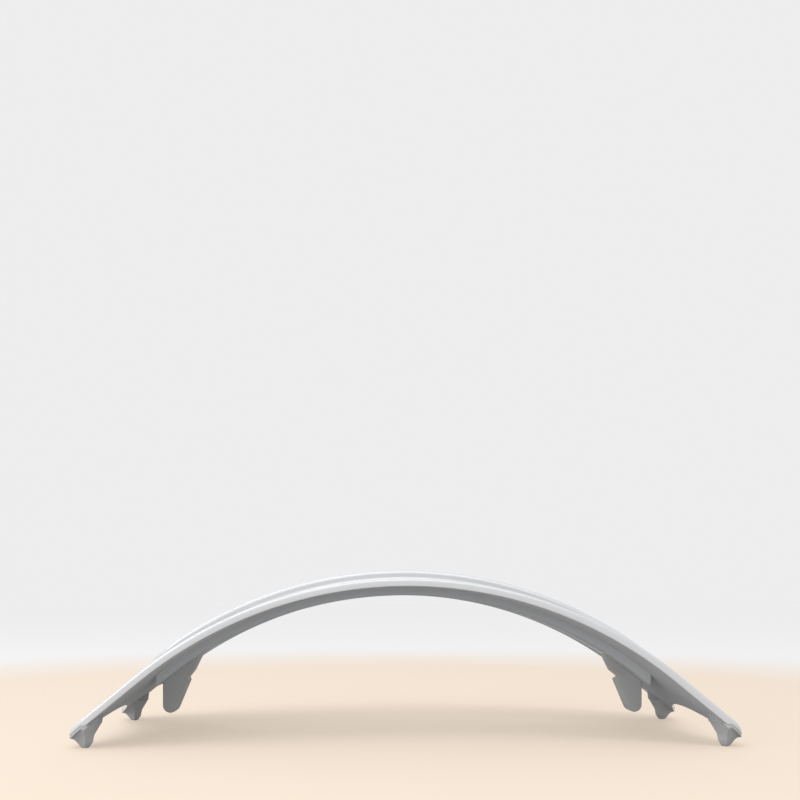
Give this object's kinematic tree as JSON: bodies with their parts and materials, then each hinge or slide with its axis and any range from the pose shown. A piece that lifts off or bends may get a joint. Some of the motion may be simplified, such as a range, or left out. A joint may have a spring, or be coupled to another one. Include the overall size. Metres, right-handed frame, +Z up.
{
  "type": "vertical laptop stand",
  "caption": "Arched metal desk stand with a soft-lined slot along its crown that holds a closed laptop upright, on short flared rubber feet.",
  "frame": {"origin": "middle of the footprint on the desk, under the crown of the arch", "axes": "+X along the arched band, -Y to the front, +Z up"},
  "size_m": [0.2912, 0.0944, 0.0774],
  "materials": {
    "satin_aluminium": "bead-blasted satin, clear anodised",
    "liner_silicone": "matt moulded silicone",
    "foot_rubber": "matt moulded rubber"
  },
  "bodies": {
    "root": {"arch_frame": "satin_aluminium", "slot_liner": "liner_silicone", "foot_front_left": "foot_rubber", "foot_front_right": "foot_rubber", "foot_rear_left": "foot_rubber", "foot_rear_right": "foot_rubber"}
  },
  "joints": []
}
